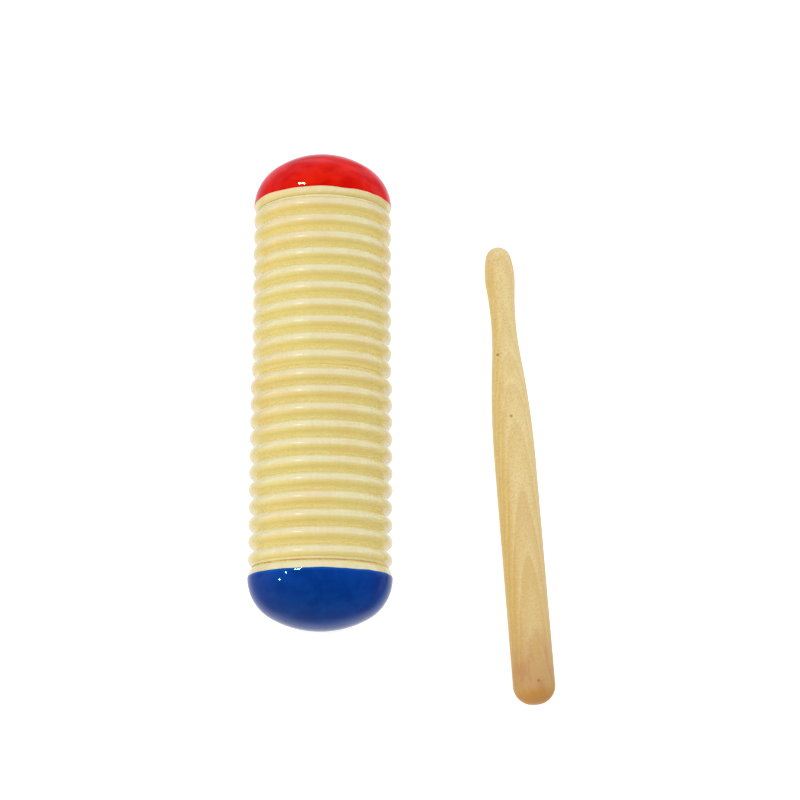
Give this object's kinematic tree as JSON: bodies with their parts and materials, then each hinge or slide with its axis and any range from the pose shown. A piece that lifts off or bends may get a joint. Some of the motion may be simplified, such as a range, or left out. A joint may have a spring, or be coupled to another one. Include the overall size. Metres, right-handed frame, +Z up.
{
  "type": "guiro",
  "caption": "Ridged wooden guiro tube with painted domed end caps and loose beads inside, lying beside its turned wooden scraper, which is drawn over the ridges to make a rasping sound.",
  "frame": {"origin": "on the surface that the guiro and the scraper lie on, under the middle of the guiro", "axes": "+Y along the guiro to its red end, +X from the guiro to the scraper, +Z up from the surface"},
  "size_m": [0.1277, 0.2332, 0.06],
  "materials": {
    "bare_wood": "clear lacquer over pale wood",
    "inner_wood": "raw",
    "red_enamel": "gloss enamel over wood, with a bare lacquered band at the seam",
    "blue_enamel": "gloss enamel over wood, with a bare lacquered band at the seam",
    "beech": "clear satin lacquer over beech",
    "bead": "gloss"
  },
  "bodies": {
    "guiro": {"upper_barrel": "bare_wood", "lower_barrel": "bare_wood", "joint_sleeve": "inner_wood", "red_end_cap": "red_enamel", "blue_end_cap": "blue_enamel"},
    "scraper": {"scraper": "beech"},
    "bead_01": {"bead_01": "bead"},
    "bead_02": {"bead_02": "bead"},
    "bead_03": {"bead_03": "bead"},
    "bead_04": {"bead_04": "bead"},
    "bead_05": {"bead_05": "bead"},
    "bead_06": {"bead_06": "bead"},
    "bead_07": {"bead_07": "bead"},
    "bead_08": {"bead_08": "bead"},
    "bead_09": {"bead_09": "bead"},
    "bead_10": {"bead_10": "bead"},
    "bead_11": {"bead_11": "bead"},
    "bead_12": {"bead_12": "bead"},
    "bead_13": {"bead_13": "bead"},
    "bead_14": {"bead_14": "bead"}
  },
  "joints": [
    {"name": "scraper_lift", "type": "slide", "parent": "guiro", "child": "scraper", "axis": [0, 0, 1], "range_m": [0, 0.12]},
    {"name": "bead_01_run", "type": "slide", "parent": "guiro", "child": "bead_01", "axis": [0, 1, 0], "range_m": [0, 0.1286]},
    {"name": "bead_02_run", "type": "slide", "parent": "guiro", "child": "bead_02", "axis": [0, 1, 0], "range_m": [0, 0.1286]},
    {"name": "bead_03_run", "type": "slide", "parent": "guiro", "child": "bead_03", "axis": [0, 1, 0], "range_m": [0, 0.1286]},
    {"name": "bead_04_run", "type": "slide", "parent": "guiro", "child": "bead_04", "axis": [0, 1, 0], "range_m": [0, 0.1286]},
    {"name": "bead_05_run", "type": "slide", "parent": "guiro", "child": "bead_05", "axis": [0, 1, 0], "range_m": [0, 0.1286]},
    {"name": "bead_06_run", "type": "slide", "parent": "guiro", "child": "bead_06", "axis": [0, 1, 0], "range_m": [0, 0.1286]},
    {"name": "bead_07_run", "type": "slide", "parent": "guiro", "child": "bead_07", "axis": [0, 1, 0], "range_m": [0, 0.1286]},
    {"name": "bead_08_run", "type": "slide", "parent": "guiro", "child": "bead_08", "axis": [0, 1, 0], "range_m": [0, 0.1286]},
    {"name": "bead_09_run", "type": "slide", "parent": "guiro", "child": "bead_09", "axis": [0, 1, 0], "range_m": [0, 0.1286]},
    {"name": "bead_10_run", "type": "slide", "parent": "guiro", "child": "bead_10", "axis": [0, 1, 0], "range_m": [0, 0.1286]},
    {"name": "bead_11_run", "type": "slide", "parent": "guiro", "child": "bead_11", "axis": [0, 1, 0], "range_m": [0, 0.1286]},
    {"name": "bead_12_run", "type": "slide", "parent": "guiro", "child": "bead_12", "axis": [0, 1, 0], "range_m": [0, 0.1286]},
    {"name": "bead_13_run", "type": "slide", "parent": "guiro", "child": "bead_13", "axis": [0, 1, 0], "range_m": [0, 0.1286]},
    {"name": "bead_14_run", "type": "slide", "parent": "guiro", "child": "bead_14", "axis": [0, 1, 0], "range_m": [0, 0.1286]}
  ]
}
